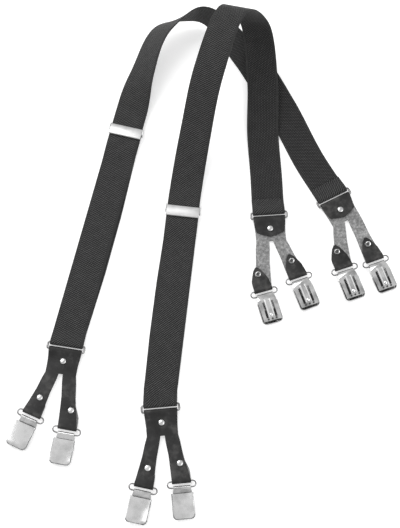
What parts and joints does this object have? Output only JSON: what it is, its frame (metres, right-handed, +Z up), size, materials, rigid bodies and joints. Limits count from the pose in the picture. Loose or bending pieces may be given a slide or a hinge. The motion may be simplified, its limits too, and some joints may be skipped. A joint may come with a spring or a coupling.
{
  "type": "suspenders",
  "caption": "X-back suspenders: wide elastic straps, slide adjusters, forked leather tabs on wire rings and hinged metal clips, laid out flat with shoulder loops.",
  "frame": {"origin": "middle of the layout's bounding box, on the table", "axes": "+X to the right of the layout, +Y from the front clips to the shoulder loops, +Z up from the table"},
  "size_m": [0.4078, 0.5674, 0.1016],
  "materials": {
    "webbing": "charcoal elastic webbing, fine diagonal weave",
    "leather": "smooth black leather outside, grey suede inside",
    "polished_nickel": "polished nickel plate",
    "satin_nickel": "satin nickel plate",
    "grip": "dark moulded grip"
  },
  "bodies": {
    "straps": {"strap_left": "webbing", "strap_right": "webbing", "ring_front_left": "polished_nickel", "ring_front_right": "polished_nickel", "ring_back_center": "polished_nickel", "ring_back_right": "polished_nickel"},
    "adjuster_left": {"adjuster_frame_left": "satin_nickel", "strap_end_left": "webbing"},
    "lever_left": {"adjuster_lever_left": "satin_nickel"},
    "adjuster_right": {"adjuster_frame_right": "satin_nickel", "strap_end_right": "webbing"},
    "lever_right": {"adjuster_lever_right": "satin_nickel"},
    "tab_front_left": {"tab_front_left": "leather", "rivet_front_left_0": "polished_nickel", "rivet_front_left_1": "polished_nickel", "rivet_front_left_2": "polished_nickel"},
    "clip_front_left_a": {"wire_loop_front_left_a": "polished_nickel", "clip_frame_front_left_a": "polished_nickel"},
    "jaw_front_left_a": {"clip_jaw_front_left_a": "polished_nickel", "clip_grip_front_left_a": "grip"},
    "clip_front_left_b": {"wire_loop_front_left_b": "polished_nickel", "clip_frame_front_left_b": "polished_nickel"},
    "jaw_front_left_b": {"clip_jaw_front_left_b": "polished_nickel", "clip_grip_front_left_b": "grip"},
    "tab_front_right": {"tab_front_right": "leather", "rivet_front_right_0": "polished_nickel", "rivet_front_right_1": "polished_nickel", "rivet_front_right_2": "polished_nickel"},
    "clip_front_right_a": {"wire_loop_front_right_a": "polished_nickel", "clip_frame_front_right_a": "polished_nickel"},
    "jaw_front_right_a": {"clip_jaw_front_right_a": "polished_nickel", "clip_grip_front_right_a": "grip"},
    "clip_front_right_b": {"wire_loop_front_right_b": "polished_nickel", "clip_frame_front_right_b": "polished_nickel"},
    "jaw_front_right_b": {"clip_jaw_front_right_b": "polished_nickel", "clip_grip_front_right_b": "grip"},
    "tab_back_center": {"tab_back_center": "leather", "rivet_back_center_0": "polished_nickel", "rivet_back_center_1": "polished_nickel", "rivet_back_center_2": "polished_nickel"},
    "clip_back_center_a": {"wire_loop_back_center_a": "polished_nickel", "clip_frame_back_center_a": "polished_nickel"},
    "jaw_back_center_a": {"clip_jaw_back_center_a": "polished_nickel", "clip_grip_back_center_a": "grip"},
    "clip_back_center_b": {"wire_loop_back_center_b": "polished_nickel", "clip_frame_back_center_b": "polished_nickel"},
    "jaw_back_center_b": {"clip_jaw_back_center_b": "polished_nickel", "clip_grip_back_center_b": "grip"},
    "tab_back_right": {"tab_back_right": "leather", "rivet_back_right_0": "polished_nickel", "rivet_back_right_1": "polished_nickel", "rivet_back_right_2": "polished_nickel"},
    "clip_back_right_a": {"wire_loop_back_right_a": "polished_nickel", "clip_frame_back_right_a": "polished_nickel"},
    "jaw_back_right_a": {"clip_jaw_back_right_a": "polished_nickel", "clip_grip_back_right_a": "grip"},
    "clip_back_right_b": {"wire_loop_back_right_b": "polished_nickel", "clip_frame_back_right_b": "polished_nickel"},
    "jaw_back_right_b": {"clip_jaw_back_right_b": "polished_nickel", "clip_grip_back_right_b": "grip"}
  },
  "joints": [
    {"name": "adjust_left", "type": "slide", "parent": "straps", "child": "adjuster_left", "axis": [0.2334, 0.9724, 0], "range_m": [0, 0.01]},
    {"name": "lever_left", "type": "hinge", "parent": "adjuster_left", "child": "lever_left", "pos_m": [-0.08747, 0.15029, 0.00783], "axis": [-0.9724, 0.2334, 0], "range_deg": [0, 100]},
    {"name": "adjust_right", "type": "slide", "parent": "straps", "child": "adjuster_right", "axis": [0.1132, 0.9936, 0], "range_m": [0, 0.01]},
    {"name": "lever_right", "type": "hinge", "parent": "adjuster_right", "child": "lever_right", "pos_m": [-0.02419, 0.05557, 0.00783], "axis": [-0.9936, 0.1132, 0], "range_deg": [0, 100]},
    {"name": "tab_front_left", "type": "hinge", "parent": "straps", "child": "tab_front_left", "pos_m": [-0.14734, -0.10424, 0.00413], "axis": [-0.9877, 0.1564, 0], "range_deg": [0, 45]},
    {"name": "swing_front_left_a", "type": "hinge", "parent": "tab_front_left", "child": "clip_front_left_a", "pos_m": [-0.17922, -0.17038, 0.00388], "axis": [-0.9135, 0.4067, 0], "range_deg": [0, 60]},
    {"name": "jaw_front_left_a", "type": "hinge", "parent": "clip_front_left_a", "child": "jaw_front_left_a", "pos_m": [-0.18532, -0.18408, 0.00448], "axis": [-0.9135, 0.4067, 0], "range_deg": [0, 75]},
    {"name": "swing_front_left_b", "type": "hinge", "parent": "tab_front_left", "child": "clip_front_left_b", "pos_m": [-0.14234, -0.18523, 0.00388], "axis": [-0.9848, 0.1736, 0], "range_deg": [0, 60]},
    {"name": "jaw_front_left_b", "type": "hinge", "parent": "clip_front_left_b", "child": "jaw_front_left_b", "pos_m": [-0.14494, -0.2, 0.00448], "axis": [-0.9848, 0.1736, 0], "range_deg": [0, 75]},
    {"name": "tab_front_right", "type": "hinge", "parent": "straps", "child": "tab_front_right", "pos_m": [-0.04665, -0.16861, 0.00413], "axis": [-0.9962, -0.0872, 0], "range_deg": [0, 45]},
    {"name": "swing_front_right_a", "type": "hinge", "parent": "tab_front_right", "child": "clip_front_right_a", "pos_m": [-0.06294, -0.24425, 0.00388], "axis": [-0.9781, 0.2079, 0], "range_deg": [0, 60]},
    {"name": "jaw_front_right_a", "type": "hinge", "parent": "clip_front_right_a", "child": "jaw_front_right_a", "pos_m": [-0.06606, -0.25893, 0.00448], "axis": [-0.9781, 0.2079, 0], "range_deg": [0, 75]},
    {"name": "swing_front_right_b", "type": "hinge", "parent": "tab_front_right", "child": "clip_front_right_b", "pos_m": [-0.02494, -0.23953, 0.00388], "axis": [-0.9962, -0.0872, 0], "range_deg": [0, 60]},
    {"name": "jaw_front_right_b", "type": "hinge", "parent": "clip_front_right_b", "child": "jaw_front_right_b", "pos_m": [-0.02363, -0.25448, 0.00448], "axis": [-0.9962, -0.0872, 0], "range_deg": [0, 75]},
    {"name": "tab_back_center", "type": "hinge", "parent": "straps", "child": "tab_back_center", "pos_m": [0.06927, 0.04341, 0.00413], "axis": [-0.9976, -0.0698, 0], "range_deg": [0, 45]},
    {"name": "swing_back_center_a", "type": "hinge", "parent": "tab_back_center", "child": "clip_back_center_a", "pos_m": [0.06111, -0.03767, 0.00533], "axis": [-0.9613, -0.2756, 0], "range_deg": [0, 60]},
    {"name": "jaw_back_center_a", "type": "hinge", "parent": "clip_back_center_a", "child": "jaw_back_center_a", "pos_m": [0.06525, -0.05209, 0.00473], "axis": [0.9613, 0.2756, 0], "range_deg": [0, 75]},
    {"name": "swing_back_center_b", "type": "hinge", "parent": "tab_back_center", "child": "clip_back_center_b", "pos_m": [0.09841, -0.02216, 0.00533], "axis": [-0.9397, -0.342, 0], "range_deg": [0, 60]},
    {"name": "jaw_back_center_b", "type": "hinge", "parent": "clip_back_center_b", "child": "jaw_back_center_b", "pos_m": [0.10354, -0.03625, 0.00473], "axis": [0.9397, 0.342, 0], "range_deg": [0, 75]},
    {"name": "tab_back_right", "type": "hinge", "parent": "straps", "child": "tab_back_right", "pos_m": [0.14187, 0.0641, 0.00413], "axis": [-0.891, -0.454, 0], "range_deg": [0, 45]},
    {"name": "swing_back_right_a", "type": "hinge", "parent": "tab_back_right", "child": "clip_back_right_a", "pos_m": [0.14757, -0.01188, 0.00533], "axis": [-0.9455, -0.3256, 0], "range_deg": [0, 60]},
    {"name": "jaw_back_right_a", "type": "hinge", "parent": "clip_back_right_a", "child": "jaw_back_right_a", "pos_m": [0.15246, -0.02606, 0.00473], "axis": [0.9455, 0.3256, 0], "range_deg": [0, 75]},
    {"name": "swing_back_right_b", "type": "hinge", "parent": "tab_back_right", "child": "clip_back_right_b", "pos_m": [0.1813, -0.00312, 0.00533], "axis": [-0.9397, -0.342, 0], "range_deg": [0, 60]},
    {"name": "jaw_back_right_b", "type": "hinge", "parent": "clip_back_right_b", "child": "jaw_back_right_b", "pos_m": [0.18643, -0.01722, 0.00473], "axis": [0.9397, 0.342, 0], "range_deg": [0, 75]}
  ]
}
